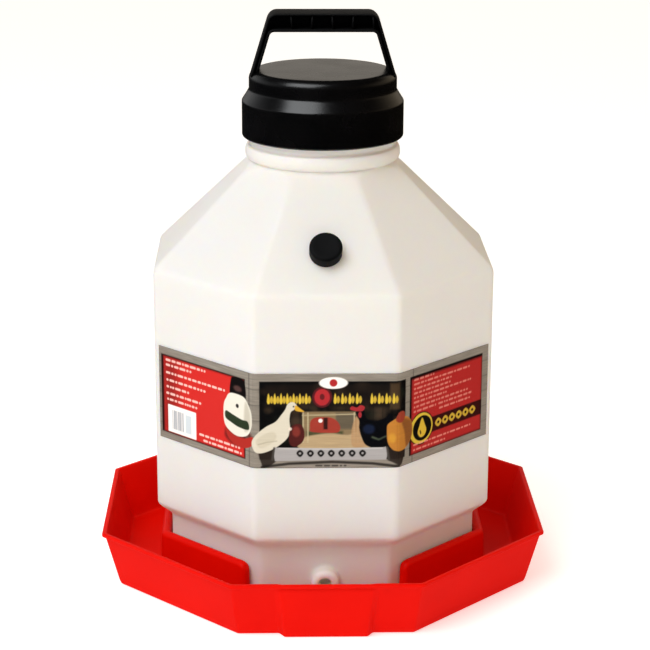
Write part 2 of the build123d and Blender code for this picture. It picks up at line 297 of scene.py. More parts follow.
redPlastic = makeTrayPlastic()
milkPlastic = makeBottlePlastic()
blackPlastic = makeBlackPlastic("mouldedBlackPolypropylene", 0.24, 0.29, 0.5)
gripPlastic = makeBlackPlastic("texturedBlackPolypropylene", 0.6, 0.68, 0.2)
stopperRubber = makeRubber("blackBungRubber", "#020203", "#060607")
gasketRubber = makeRubber("greyGasketRubber", "#1C1C1E", "#2A2A2C")
labelFilm = makeLabelFilm()
print("materials made")


tray = {
    "floorHalf": 175.0, "wallTopHalf": 187.0, "lipHeight": 3.2, "wall": 2.2, "corner": 4.0,
    "footRounding": 2.5, "lipRounding": 1.2, "underLip": 0.8, "floorFillet": 4.0,
    "bayBaseHalf": 33.4, "bayBaseSide": 38.8, "bayBaseDepth": 7.5,
    "bayTopHalf": 37.0, "bayTopSide": 43.5, "bayTopDepth": 1.2, "baySoft": 0.5,
}


# How far the bay stands out of the front wall: a trapezoid across x whose corners are softened by
# mixing the straight cheek with its smoothstep, fading to nothing above the lip's underside.
def bayPush(x, z, inset):
    lipLow = trayTop - tray["lipHeight"]
    rise = np.clip(z / lipLow, 0, 1)
    half = tray["bayBaseHalf"] + (tray["bayTopHalf"] - tray["bayBaseHalf"]) * rise - 0.5 * inset
    side = tray["bayBaseSide"] + (tray["bayTopSide"] - tray["bayBaseSide"]) * rise - inset
    depth = tray["bayBaseDepth"] + (tray["bayTopDepth"] - tray["bayBaseDepth"]) * rise
    cheek = np.clip((side - np.abs(x)) / (side - half), 0, 1)
    cheek = (1 - tray["baySoft"]) * cheek + tray["baySoft"] * cheek * cheek * (3 - 2 * cheek)
    return depth * cheek


# The pan: octagon rows from the middle of the underside, out, up the wall, over the lip, down the
# inside and back to the middle of the floor. Front wall points are pushed out to form the bay.
def makeTray():
    lipLow = trayTop - tray["lipHeight"]
    slope = (tray["wallTopHalf"] - tray["floorHalf"]) / lipLow
    wall = tray["wall"]
    corner = tray["corner"]
    footR = tray["footRounding"]
    foot = arc(tray["floorHalf"] - footR + 0.3, footR, footR, -90, -14, 5)
    outerZ = np.linspace(footR + 1.5, lipLow - tray["underLip"], 12)
    outer = np.stack([tray["floorHalf"] + slope * outerZ, outerZ], axis=-1)
    r = tray["lipRounding"]
    lip = np.concatenate([
        [[tray["floorHalf"] + slope * lipLow + 0.25, lipLow]],
        arc(rimHalf - 0.7, lipLow + 0.7, 0.7, -90, 0, 3),
        arc(rimHalf - r, trayTop - r, r, 0, 90, 5),
        arc(tray["floorHalf"] + slope * trayTop - wall + r, trayTop - r, r, 90, 180, 5)])
    innerZ = np.linspace(trayTop - 2.6, floorTop + tray["floorFillet"] + 1.0, 12)
    inner = np.stack([tray["floorHalf"] + slope * innerZ - wall, innerZ], axis=-1)
    filletR = tray["floorHalf"] + slope * floorTop - wall - tray["floorFillet"] + 0.6
    fillet = arc(filletR, floorTop + tray["floorFillet"], tray["floorFillet"], -14, -90, 5)
    under = [[a, 0.0] for a in (60.0, 120.0, 165.0)]
    floor = [[a, floorTop] for a in (160.0, 120.0, 60.0)]
    section = np.concatenate([under, foot, outer, lip, inner, fillet, floor])
    fractions = np.array([-1, -0.85, -0.7, -0.63, -0.6, -0.575, -0.56, -0.545, -0.53, -0.515,
                          -0.5, -0.485, -0.47, -0.45, -0.42, -0.3, -0.15])      # closest at the bay's cheeks
    fractions = np.concatenate([fractions, [0], -fractions[::-1]])
    rows = octagonRows(section[:, 0], np.minimum(corner, section[:, 0] * 0.2), section[:, 1], fractions, 6)
    insideWall = np.arange(len(section)) >= len(under) + len(foot) + len(outer) + len(lip) - 6
    flat = slice(0, len(fractions))
    x = rows[:, flat, 0]
    z = rows[:, flat, 2]
    inset = np.where(insideWall, wall, 0.0)[:, None]
    reach = np.clip((section[:, 0] - 150) / 20, 0, 1)[:, None]
    above = np.clip((trayTop - tray["lipHeight"] + 0.1 - z) / 0.4, 0, 1)
    push = bayPush(x, z, inset) * reach * np.where(insideWall[:, None], 1.0, above)
    rows[:, flat, 1] -= push
    columns = rows.shape[1]
    points = np.concatenate([rows.reshape(-1, 3), [[0, 0, 0], [0, 0, floorTop]]])
    count = len(section) * columns
    faces = [gridQuads(len(section), columns, wrap=True),
             fan(np.arange(columns), count, inward=True),
             fan(np.arange(columns) + (len(section) - 1) * columns, count + 1)]
    return makePiece("trayPan", points, faces, redPlastic, "tray", "tray", weld=1e-7)


curb = {
    "top": 42.6, "halfTop": 4.25, "halfBase": 5.0, "rounding": 4.1, "flare": 1.6, "gap": 1.25, "corner": 5.5,
    "trim": 15.6, "endDrop": 8.0, "sunk": 0.6, "endSteps": 13,
}


# The raised band round the bottle's foot: a rounded upright section carried along seven sides of an
# octagon, with each end turned through half a circle about its last point.
def makeCurb():
    middle = bodyHalf - footInset + curb["gap"] + curb["halfTop"]
    r = curb["rounding"]
    half = np.concatenate([
        [[0.0, curb["top"]]],
        arc(curb["halfTop"] - r, curb["top"] - r, r, 80, 0, 8),
        [[curb["halfTop"] + 0.4, 22.0], [curb["halfBase"] - 0.1, floorTop + curb["flare"] + 1]],
        np.array([[curb["halfBase"] + curb["flare"] * (1 - cos(t)), floorTop + curb["flare"] * (1 - sin(t))]
                  for t in np.linspace(0.2, pi / 2, 5)]),
        [[curb["halfBase"], floorTop - curb["sunk"]]]])
    fullSection = np.concatenate([half[::-1], half[1:] * [-1, 1]])
    trimmed = (middle * eighthTan - curb["trim"]) / ((middle - curb["corner"]) * eighthTan)
    close = trimmed - np.array([0, 0.02, 0.045, 0.08, 0.12])
    fractions = np.concatenate([[-1], -close, [-0.4, 0, 0.4], close[::-1], [1]])
    arcSteps = 8
    path = octagonRows([middle], [curb["corner"]], [0.0], fractions, arcSteps)[0, :, :2]
    path = path[len(path) // 8 + 1:-arcSteps]          # leaves out the front side and the trimmed ends
    run = np.gradient(path, axis=0)
    run /= np.linalg.norm(run, axis=1)[:, None]
    outward = np.stack([run[:, 1], -run[:, 0]], axis=-1)
    sides = len(fullSection)
    heights = np.broadcast_to(fullSection[None, :, 1:], (len(path), sides, 1))
    sweep = np.concatenate([path[:, None] + fullSection[None, :, :1] * outward[:, None], heights], axis=-1)
    points = [sweep.reshape(-1, 3)]
    faces = [gridQuads(len(path), sides)]
    count = len(path) * sides
    steps = curb["endSteps"]
    for end, sign in ((0, -1), (-1, 1)):
        turn = np.linspace(0, pi, steps)
        spoke = np.cos(turn)[:, None] * outward[end] + sign * np.sin(turn)[:, None] * run[end]
        cap = np.concatenate([path[end] + half[None, :, :1] * spoke[:, None],
                              np.broadcast_to(half[None, :, 1:], (steps, len(half), 1))], axis=-1)
        points.append(cap.reshape(-1, 3))
        faces.append(gridQuads(steps, len(half), first=count))
        count += steps * len(half)
    bottomLeft = np.arange(len(path)) * sides
    bottomRight = bottomLeft + sides - 1
    faces.append(np.stack([bottomLeft[:-1], bottomLeft[1:], bottomRight[1:], bottomRight[:-1]], axis=-1))
    for end in (0, 1):
        start = len(path) * sides + end * steps * len(half) + len(half) - 1
        ring = start + np.arange(steps) * len(half)
        points.append([np.append(path[-end], floorTop - curb["sunk"])])
        faces.append(np.stack([ring[:-1], ring[1:], np.full(steps - 1, count)], axis=-1))
        faces.append(np.array([[bottomLeft[-end], bottomRight[-end], count]]))
        count += 1
    points = np.concatenate(points)
    for end, sign in ((0, -1), (-1, 1)):
        fromTip = curb["halfTop"] + sign * (path[end] - points[:, :2]) @ run[end]
        beside = np.abs((points[:, :2] - path[end]) @ outward[end]) < 2 * curb["halfBase"]
        sunk = np.clip(curb["endDrop"] - fromTip, 0, curb["endDrop"])
        drop = curb["endDrop"] - np.sqrt(curb["endDrop"] ** 2 - sunk ** 2)
        high = np.clip((points[:, 2] - floorTop) / (curb["top"] - floorTop), 0, 1)
        points[:, 2] -= drop * beside * high ** 2
    return makePiece("trayCurb", points, faces, redPlastic, "tray", "tray", weld=2e-6)


makeTray()
makeCurb()
print("tray made")


bottle = {
    "footHalf": bodyHalf - footInset, "corner": 9.0, "wall": 2.4, "footRounding": 5.0,
    "stepLow": 56.2, "stepHigh": 71.2, "shoulderLow": 277.6, "shoulderHigh": 359.6, "shoulderRounding": 9.0,
    "neck": 62.1, "neckBore": 57.5, "bead": 65.8, "beadLow": 362.0, "beadHigh": 374.1,
    "pushUp": 92.0, "pushUpHeight": 6.0,
    "outletHeight": 28.8, "outletOut": 12.0, "outletRadius": 11.8, "outletBore": 5.75, "outletPatch": 15.0,
    "outletNose": 4.6,
    "pocketRise": 28.6, "pocketRadius": 6.7, "pocketDepth": 17.0, "pocketPatch": 12.6,
}
shoulderRun = bodyHalf - bottle["neck"]
shoulderRise = bottle["shoulderHigh"] - bottle["shoulderLow"]
shoulderSlant = (shoulderRun ** 2 + shoulderRise ** 2) ** 0.5
pocketNormal = np.array([0, -shoulderRise / shoulderSlant, shoulderRun / shoulderSlant])
pocketUp = np.array([0, shoulderRun / shoulderSlant, shoulderRise / shoulderSlant])
pocketCentre = np.array([0, -bodyHalf + shoulderRun * bottle["pocketRise"] / shoulderRise,
                         bottle["shoulderLow"] + bottle["pocketRise"]])


# Half width of the shoulder across flats at a height.
def shoulderHalf(z):
    return bodyHalf - shoulderRun * (z - bottle["shoulderLow"]) / shoulderRise


# (half width, corner radius, height) up the bottle, moved in by inset, and the rows that bound the
# outlet's and the pocket's patches. The foot meets the body in a smoothstep.
def bottleSection(inset):
    foot = bottle["footHalf"]
    corner = bottle["corner"]
    low = floorTop + inset
    push = bottle["pushUpHeight"]
    rings = [(a, a, low + push) for a in (20.0, 50.0, 80.0, bottle["pushUp"] - 4)]
    rings += [(bottle["pushUp"] - 1.5, bottle["pushUp"] - 1.5, low + push - 0.6),
              (bottle["pushUp"] + 0.5, bottle["pushUp"] + 0.5, low + 0.8),
              (bottle["pushUp"] + 2.0, bottle["pushUp"] + 2.0, low), (108.0, 84.0, low), (118.0, 30.0, low)]
    r = bottle["footRounding"] - 0.5 * inset
    for a, z in arc(foot - inset - r, low + r, r, -90, 0, 6):
        rings.append((a, corner - inset - (foot - inset - a), z))
    outletLow = bottle["outletHeight"] - bottle["outletPatch"]
    outletHigh = bottle["outletHeight"] + bottle["outletPatch"]
    first = len(rings)
    rings += [(foot - inset, corner - inset, z) for z in np.linspace(outletLow, outletHigh, 7)]
    outletRows = (first, len(rings) - 1)
    share = np.linspace(0, 1, 13)
    lift = -0.4 * inset
    stepZ = bottle["stepLow"] + share * (bottle["stepHigh"] - bottle["stepLow"]) + inset * 0.3
    stepA = foot + (bodyHalf - foot) * share * share * (3 - 2 * share) - inset
    rings += [(foot - inset, corner - inset, 49.0)]
    rings += [(a, corner - inset, z) for a, z in zip(stepA, stepZ)]
    rings += [(bodyHalf - inset, corner - inset, z) for z in (78.0, 100.0, 130.0, 170.0, 211.0, 240.0, 264.0)]
    bend = bottle["shoulderRounding"]
    tilt = np.degrees(np.arctan2(shoulderRun, shoulderRise))
    tangent = bend * tan(radians(tilt / 2))
    rings += [(a - inset, corner - inset, z + lift) for a, z in arc(
        bodyHalf - bend, bottle["shoulderLow"] - tangent, bend, 0, tilt, 6)]
    pocketZ = bottle["shoulderLow"] + bottle["pocketRise"]
    first = len(rings)
    slantInset = inset * shoulderSlant / shoulderRise
    rings += [(shoulderHalf(z) - slantInset, corner - inset, z)
              for z in np.linspace(pocketZ - bottle["pocketPatch"], pocketZ + bottle["pocketPatch"], 9)]
    pocketRows = (first, len(rings) - 1)
    rings += [(shoulderHalf(z) - slantInset, corner - inset, z)
              for z in bottle["shoulderHigh"] - np.array([35, 25, 15, 7])]
    return rings, outletRows, pocketRows


# The neck from the shoulder to its rim: a soft groove, a half round bead, the land and the lip.
def neckOutside():
    neck = bottle["neck"]
    base = bottle["shoulderHigh"]
    rings = [(65.2, 12.0, base - 3.4), (63.6, 20.0, base - 1.6), (62.7, 34.0, base - 0.4),
             (62.3, 50.0, base + 0.4), (neck, neck, base + 1.2)]
    middle = (bottle["beadLow"] + bottle["beadHigh"]) / 2
    tall = (bottle["beadHigh"] - bottle["beadLow"]) / 2
    for t in np.linspace(-pi / 2, pi / 2, 15):
        swell = max(cos(t), 0) ** 0.7
        a = neck + (bottle["bead"] - neck) * swell
        rings.append((a, a, middle - 0.4 + tall * sin(t)))
    rings += [(neck, neck, neckTop - down) for down in (35, 25, 13, 5)]
    rings += [(a, a, z) for a, z in arc(neck - 0.8, neckTop - 0.8, 0.8, 0, 90, 4)]
    bore = bottle["neckBore"]
    rings += [(a, a, z) for a, z in arc(bore + 0.8, neckTop - 0.8, 0.8, 90, 180, 4)]
    rings += [(bore, bore, neckTop - down) for down in (9, 24, 39, 51)]
    return rings


# Rings from a loop of grid points to circles: each has the loop's bearings about the axis, and its
# (share, radius, height) mixes the loop with the circle and lifts it along the axis.
def patchRings(loop, centre, across, up, profile):
    normal = np.cross(across, up)
    flat = loop - centre
    bearing = np.arctan2(flat @ up, flat @ across)
    circle = np.cos(bearing)[:, None] * across + np.sin(bearing)[:, None] * up
    return [(1 - share) * loop + share * (centre + radius * circle) + height * normal
            for share, radius, height in profile]


# Point numbers round a block of the grid, anticlockwise from its lower left corner.
def blockLoop(columns, rows, left, right):
    low, high = rows
    bottomEdge = low * columns + np.arange(left, right)
    rightEdge = np.arange(low, high) * columns + right
    topEdge = high * columns + np.arange(right, left, -1)
    leftEdge = np.arange(high, low, -1) * columns + left
    return np.concatenate([bottomEdge, rightEdge, topEdge, leftEdge])


# Quads between two closed rings of point numbers.
def ringStrip(first, second):
    return np.stack([first, np.roll(first, -1), np.roll(second, -1), second], axis=-1)


# One closed shell: octagon rows up the outside, over the neck's rim and down the inside. The outlet
# boss with its through bore, and the blind pocket, are let into the front flat as patches.
def makeBottle():
    outside, outletOut, pocketOut = bottleSection(0.0)
    inside, outletIn, pocketIn = bottleSection(bottle["wall"])
    neck = neckOutside()
    high = bottle["shoulderHigh"]
    inner = [(60.5, 30.0, high - 5.5), (62.5, 14.0, high - 10.0)] + inside[:-1][::-1]
    rings = np.array(outside + neck + inner)
    innerStart = len(outside) + len(neck) + 2
    total = len(inside) - 1
    outletInside = tuple(innerStart + total - 1 - r for r in outletIn[::-1])
    pocketInside = tuple(innerStart + total - 1 - r for r in pocketIn[::-1])
    fractions = np.linspace(-1, 1, 21)
    grid = octagonRows(rings[:, 0], rings[:, 1], rings[:, 2], fractions, 7)
    columns = grid.shape[1]
    flatPoints = grid.reshape(-1, 3)
    points = [flatPoints]
    keep = np.ones((len(rings) - 1, columns), bool)
    outletCols, pocketCols = (7, 13), (6, 14)          # of the front flat's 21 points across
    for rowsPair, cols in ((outletOut, outletCols), (outletInside, outletCols),
                           (pocketOut, pocketCols), (pocketInside, pocketCols)):
        keep[rowsPair[0]:rowsPair[1], cols[0]:cols[1]] = False
    faces = [gridQuads(len(rings), columns, wrap=True)[keep.reshape(-1)]]
    across = np.array([1.0, 0, 0])
    wall = bottle["wall"]

    def addRings(loop, centre, up, profile):
        ring = loop
        for block in patchRings(flatPoints[loop], centre, across, up, profile):
            new = sum(len(done) for done in points) + np.arange(len(block))
            points.append(block)
            faces.append(ringStrip(ring, new))
            ring = new
        return ring

    def closeCup(ring, tip):
        faces.append(fan(ring, sum(len(done) for done in points)))
        points.append([tip])

    # outlet: a filleted boss with a rounded nose, then the bore through to the inside
    outletCentre = np.array([0, -bottle["footHalf"], bottle["outletHeight"]])
    loopOut = blockLoop(columns, outletOut, *outletCols)
    radius, nose = bottle["outletRadius"], bottle["outletNose"]
    out, bore = bottle["outletOut"], bottle["outletBore"]
    profile = [(0.45, radius + 3.2, 0.0), (1, radius + 2.4, 0.0), (1, radius + 1.1, 0.25),
               (1, radius + 0.35, 0.9), (1, radius, 2.2), (1, radius - 0.1, out - nose)]
    profile += [(1, a, h) for a, h in arc(radius - nose, out - nose, nose, 15, 90, 7)]
    profile += [(1, bore + 0.5, out - 0.1), (1, bore, out - 0.8)]
    profile += [(1, bore, h) for h in (8.0, 4.0, 0.0, -wall + 0.3)]
    profile += [(1, bore + 0.4, -wall)]
    loopIn = blockLoop(columns, outletInside, *outletCols)
    flipped = np.roll(loopIn[::-1], 1)                 # inside rows run downwards, bearings reversed
    innerLoop = flatPoints[flipped]
    order = np.argmin(np.linalg.norm(innerLoop - (flatPoints[loopOut][0] + [0, wall, 0]), axis=1))
    ring = addRings(loopOut, outletCentre, np.array([0.0, 0, 1]), profile)
    faces.append(ringStrip(ring, np.roll(flipped, -order)))

    # pocket: a softened mouth and a blind bore outside, the moulded cup inside
    mouth, deep = bottle["pocketRadius"], bottle["pocketDepth"]
    profile = [(0.5, mouth + 5, 0.0), (1, mouth + 2.5, 0.0), (1, mouth + 0.5, -0.05), (1, mouth, -0.6)]
    profile += [(1, mouth, -deep * t) for t in (0.3, 0.6, 0.9)]
    profile += [(1, mouth - 0.4, -deep + 0.4), (1, mouth - 1.4, -deep), (1, 2.5, -deep)]
    ring = addRings(blockLoop(columns, pocketOut, *pocketCols), pocketCentre, pocketUp, profile)
    closeCup(ring, pocketCentre - deep * pocketNormal)
    cup = mouth + wall
    profile = [(0.5, cup + 4, 0.0), (1, cup + 2, 0.0), (1, cup + 0.4, -0.8), (1, cup, -2.4)]
    profile += [(1, cup, -(deep - 1) * t) for t in (0.4, 0.7, 0.95)]
    profile += [(1, cup - 0.8, -deep + 0.2), (1, cup - 2.4, -deep), (1, 3.0, -deep)]
    innerCentre = pocketCentre - wall * pocketNormal
    ring = addRings(blockLoop(columns, pocketInside, *pocketCols), innerCentre, pocketUp, profile)
    closeCup(ring, innerCentre - deep * pocketNormal)
    count = sum(len(done) for done in points)
    points.append([[0, 0, rings[0, 2]], [0, 0, rings[-1, 2]]])
    faces.append(fan(np.arange(columns), count, inward=True))
    faces.append(fan(np.arange(columns) + (len(rings) - 1) * columns, count + 1))
    return makePiece("bottleShell", np.concatenate(points), faces, milkPlastic, "bottle", "bottle",
                     weld=1e-7)


thread = {
    "pitch": 8.0, "low": 390.6, "neckTurns": 1.5, "capTurns": 1.0, "neckDepth": 2.5, "capDepth": -3.0,
    "root": 1.8, "crest": 0.8, "fade": 0.06,
}


# Triangles that close the two ends of a swept section; last is the first point of its last row.
def endFans(sides, last):
    start = np.array([[0, i + 1, i] for i in range(1, sides - 1)])
    return [start, last + start[:, [0, 2, 1]]]


# A thread ridge: a trapezoid section carried up a helix, its depth eased to nothing at both ends.
# Height is pitch times the turn, and depth is negative for a ridge on an inside wall.
def makeThread(name, radius, depth, low, turns, material, body, node):
    steps = int(96 * turns)
    turn = np.linspace(0, turns, steps + 1)
    ease = np.clip(np.minimum(turn, turns - turn) / thread["fade"], 0.02, 1) ** 0.5
    bite = -0.4 if depth > 0 else 0.4
    root, crest = thread["root"], thread["crest"]
    flank = [(bite, root), (0.25 * depth, root - 0.3), (0.85 * depth, crest + 0.15), (depth, crest - 0.25)]
    section = np.array([(a, -z) for a, z in flank] + flank[::-1])
    bump = section[None, :, 0]
    out = radius + np.where(bump * depth > 0, bump * ease[:, None], bump)
    z = low + thread["pitch"] * turn[:, None] + section[None, :, 1]
    angle = 2 * pi * turn[:, None]
    ridge = np.stack([out * np.cos(angle), out * np.sin(angle), np.broadcast_to(z, out.shape)], axis=-1)
    sides = len(section)
    faces = [gridQuads(steps + 1, sides, wrap=True)] + endFans(sides, steps * sides)
    return makePiece(name, ridge.reshape(-1, 3), faces, material, body, node, weld=1e-8)


makeBottle()
makeThread("neckThread", bottle["neck"], thread["neckDepth"], thread["low"], thread["neckTurns"],
           milkPlastic, "bottle", "bottle")
print("bottle made")


cap = {
    "coneLow": 410.6, "coneHigh": 419.8, "drum": 62.4, "topRounding": 7.2, "hemRounding": 2.4, "bore": 65.8,
    "ledge": 64.0, "ledgeBore": 57.0, "ledgeTop": 2.5, "drumBore": 59.6, "topWall": 3.1, "edge": 1.6,
}
gasket = {"bore": 57.5, "rounding": 0.6}


# A turned section: hem, skirt, cone, drum and rounded top outside; bore, ledge and roof inside.
def makeCap():
    r, hem, edge = cap["topRounding"], cap["hemRounding"], cap["edge"] * 2
    drum, coneLow, coneHigh = cap["drum"], cap["coneLow"], cap["coneHigh"]
    bore, ledge, ledgeBore, inner = cap["bore"], cap["ledge"], cap["ledgeBore"], cap["drumBore"]
    tilt = np.arctan2(capRadius - drum, coneHigh - coneLow)
    seat = gasketHigh.z / mm
    ledgeTop = seat + cap["ledgeTop"]
    roof = capTop - cap["topWall"]
    section = np.concatenate([
        [[0, capTop], [20, capTop], [42, capTop]],
        arc(drum - r, capTop - r, r, 90, 0, 12),
        [[drum, coneHigh + 4.8], [drum, coneHigh + 1.0], [drum + 0.12, coneHigh + 0.1]],
        [[drum + 0.75, coneHigh - 0.9], [capRadius - 2.4, coneLow + 2.4 / tan(tilt)]],
        arc(capRadius - edge, coneLow - tan(tilt / 2) * edge, edge, np.degrees(tilt), 0, 6),
        [[capRadius, coneLow - 8], [capRadius, coneLow - 18]],
        arc(capRadius - hem, capBottom + hem, hem, 0, -90, 6),
        [[bore + 0.1, capBottom], [bore, capBottom + 0.5]],
        [[bore, z] for z in (capBottom + 7.6, capBottom + 17.6, coneLow - 3.2)],
        [[ledge + 0.1, coneLow], [ledge, seat - 0.3], [ledge - 0.4, seat], [ledgeBore + 0.4, seat]],
        [[ledgeBore, seat + 0.4], [ledgeBore, ledgeTop - 0.4], [ledgeBore + 0.4, ledgeTop]],
        [[inner - 0.5, ledgeTop], [inner, ledgeTop + 0.5]],
        arc(inner - 2.0, roof - 2.0, 2.0, 0, 90, 4),
        [[30, roof], [0, roof]]])
    return lathe(section, 160, "capShell", blackPlastic, "cap", "cap")


# A flat rubber ring with rounded edges.
def makeGasket():
    inner, outer, r = gasket["bore"], gasketHigh.x / mm, gasket["rounding"]
    low, high = gasketLow.z / mm, gasketHigh.z / mm
    section = np.concatenate([
        arc(outer - r, high - r, r, 90, 0, 4), arc(outer - r, low + r, r, 0, -90, 4),
        arc(inner + r, low + r, r, -90, -180, 4), arc(inner + r, high - r, r, 180, 90, 4)])
    return lathe(section, 128, "sealRing", gasketRubber, "gasket", "cap_gasket")


stopper = {
    "head": 13.4, "headTop": 12.0, "rounding": 2.4, "shankWide": 6.3, "shankNarrow": 5.3, "shank": 14.0,
    "dish": 0.5,
}


# A rubber bung turned about the pocket's axis: a tapered shank and a rounded head, dished on top.
def makeStopper():
    r, head, top = stopper["rounding"], stopper["head"], stopper["headTop"]
    wide, narrow, deep = stopper["shankWide"], stopper["shankNarrow"], stopper["shank"]
    dish = top - stopper["dish"]
    section = np.concatenate([
        [[0, dish], [4, dish], [7.5, top - 0.35], [9.5, top - 0.05]],
        arc(head - r, top - r, r, 85, 0, 7),
        [[head, 6.6], [head - 0.1, 3.0]],
        arc(head - 1.1, 1.2, 1.0, 0, -78, 4),
        [[head - 3.0, 0.02], [wide + 0.5, 0.02], [wide, -0.6]],
        [[narrow + 0.25, -deep * 0.7], [narrow, -deep + 0.8], [narrow - 0.8, -deep], [0, -deep]]])
    axes = np.array([[1.0, 0, 0], pocketUp, pocketNormal])
    return lathe(section, 72, "stopperBung", stopperRubber, "stopper", "stopper",
                 centre=pocketCentre, axes=axes)


makeCap()
makeThread("capThread", cap["bore"], thread["capDepth"], thread["low"] - thread["pitch"] / 2,
           thread["capTurns"], blackPlastic, "cap", "cap")
makeGasket()
makeStopper()
print("cap, gasket and stopper made")


handle = {
    "topHalf": 45.2, "footHalf": 61.4, "footHeight": 432.1, "footLow": 432.2, "corner": 9.0, "leg": 6.2,
    "innerCorner": 4.0, "grip": 15.8, "flange": 2.3, "webThick": 3.0, "edge": 0.7, "crown": 0.8,
    "tuck": 1.0, "sunk": 0.9, "ribs": 5, "ribSpacing": 17.0, "ribShift": 7.5, "ribLean": 4.0, "ribThick": 1.7,
}


# Half of a carrying loop and its mirror image: up a leaning leg, round a corner, along the top.
def loopPath(half, top, corner, leanTo, low, steps=9):
    lean = (leanTo[0] - half) / (top - leanTo[1])
    turn = pi / 2 - np.arctan(lean)                     # how far the path turns at the corner
    back = corner * tan(turn / 2)
    footX = half + lean * (top - low)
    slant = np.array([-lean, 1.0]) / (1 + lean ** 2) ** 0.5
    start = np.array([half, top]) - back * slant
    centre = np.array([half - back, top - corner])
    leg = np.linspace([footX, low], start, 9)[:-1]
    angles = np.linspace(pi / 2 - turn, pi / 2, steps)
    bend = centre + corner * np.stack([np.cos(angles), np.sin(angles)], axis=-1)
    right = np.concatenate([leg, bend])
    across = np.linspace(right[-1], right[-1] * [-1, 1], 13)[1:-1]
    left = right[::-1] * [-1, 1]
    return np.concatenate([right, across, left])


# A flat bar with rounded edges carried along a path in the handle's plane.
def flangeStrip(path, thick, depth, edge, inwardSign, crown=0.0):
    run = np.gradient(path, axis=0)
    run /= np.linalg.norm(run, axis=1)[:, None]
    inward = inwardSign * np.stack([-run[:, 1], run[:, 0]], axis=-1)
    half = depth / 2
    t, e = thick, edge
    section = []
    wide = half - e
    for cy, cn, start in ((wide, t - e, 0), (-wide, t - e, 90), (-wide, e, 180), (wide, e, 270)):
        if start == 270:
            section += [(share * wide, 0.0) for share in np.linspace(-0.9, 0.9, 13)]
        for angle in np.radians(start + np.linspace(0, 90, 4)):
            section.append((cy + e * cos(angle), cn + e * sin(angle)))
    section = np.array(section)
    section[:, 1] += np.where(section[:, 1] < t / 2, crown * (section[:, 0] / half) ** 2, 0)
    flat = path[:, None] + section[None, :, 1:] * inward[:, None]
    y = np.broadcast_to(section[None, :, 0], flat.shape[:2])
    block = np.stack([flat[..., 0], y, flat[..., 1]], axis=-1)
    sides = len(section)
    faces = [gridQuads(len(path), sides, wrap=True)] + endFans(sides, (len(path) - 1) * sides)
    return block.reshape(-1, 3), faces


# The I-section loop: an outer and an inner flange, the web between them, and drafted ribs across
# the grip. Points beyond the drum's circle are drawn in to it, so the feet lie flush.
def makeHandle():
    foot = (handle["footHalf"], handle["footHeight"])
    outerPath = loopPath(handle["topHalf"], handleTop, handle["corner"], foot, handle["footLow"])
    innerTop = handleTop - handle["grip"]
    lean = (foot[0] - handle["topHalf"]) / (handleTop - foot[1])
    innerHalf = handle["topHalf"] + lean * handle["grip"] - handle["leg"]
    innerFoot = (foot[0] - handle["leg"], foot[1])
    innerLow = capTop - handle["sunk"]
    innerPath = loopPath(innerHalf, innerTop, handle["innerCorner"], innerFoot, innerLow)
    blocks = [flangeStrip(outerPath, handle["flange"], handleDepth, handle["edge"], 1, handle["crown"]),
              flangeStrip(innerPath, handle["flange"], handleDepth, handle["edge"], -1)]
    web = handle["webThick"] / 2
    tuck = handle["tuck"]                               # the web's edges are buried in both flanges
    outerIn = loopPath(handle["topHalf"] - tuck, handleTop - tuck, handle["corner"] - tuck,
                       (foot[0] - tuck, foot[1]), handle["footLow"] + tuck)
    innerOut = loopPath(innerHalf + tuck, innerTop + tuck, handle["innerCorner"] + tuck,
                        (innerFoot[0] + tuck, foot[1]), innerLow)
    corners = np.stack([np.insert(outerIn, 1, -web, axis=1), np.insert(innerOut, 1, -web, axis=1),
                        np.insert(innerOut, 1, web, axis=1), np.insert(outerIn, 1, web, axis=1)], axis=1)
    last = (len(outerIn) - 1) * 4
    blocks.append((corners.reshape(-1, 3), [gridQuads(len(outerIn), 4, wrap=True), np.array([[0, 3, 2, 1]]),
                                            np.array([[last, last + 1, last + 2, last + 3]])]))
    middle = innerTop + handle["grip"] / 2
    tall = handle["grip"] / 2 - handle["flange"] + 0.4
    for index in range(handle["ribs"]):
        x = (index - (handle["ribs"] - 1) / 2) * handle["ribSpacing"] + handle["ribShift"]
        shift = tall * tan(radians(handle["ribLean"] * (-1) ** index))
        for side in (-1, 1):
            near, far = side * (web - 0.3), side * (handleDepth / 2 - 0.9)
            thick, thin = handle["ribThick"] / 2, handle["ribThick"] / 2 - 0.25
            rib = []
            for y, w in ((near, thick), ((near + far) / 2, (thick + thin) / 2), (far, thin)):
                rib += [[x - w + shift, y, middle - tall], [x + w + shift, y, middle - tall],
                        [x + w - shift, y, middle + tall], [x - w - shift, y, middle + tall]]
            ends = [np.array([[0, 3, 2, 1]]), np.array([[8, 9, 10, 11]])]
            blocks.append((np.array(rib), [gridQuads(3, 4, wrap=True)] + ends))
    points, faces, count = [], [], 0
    for block, blockFaces in blocks:
        points.append(block)
        faces += [face + count for face in blockFaces]
        count += len(block)
    points = np.concatenate(points)
    reach = np.sqrt(np.maximum((cap["drum"] - 0.05) ** 2 - points[:, 1] ** 2, 0))
    points[:, 0] = np.clip(points[:, 0], -reach, reach)
    return makePiece("handleLoop", points, faces, gripPlastic, "cap", "handle", weld=1e-8)


makeHandle()
print("handle made")


label = {
    "pitch": 0.5, "leftReach": 53.4, "rightReach": 53.9, "seams": (-63.0, 75.7), "proud": 0.22,
    "film": 0.16, "cornerBlend": 9.0,
    "wood": "#8E8579", "woodDark": "#4F473E", "red": "#D2160C", "yellow": "#D9B727",
    "white": "#F4F0EA", "black": "#0B0A0B",
}
labelMiddle = (labelLow.z + labelHigh.z) / 2 / mm
labelTall = (labelHigh.z - labelLow.z) / 2 / mm


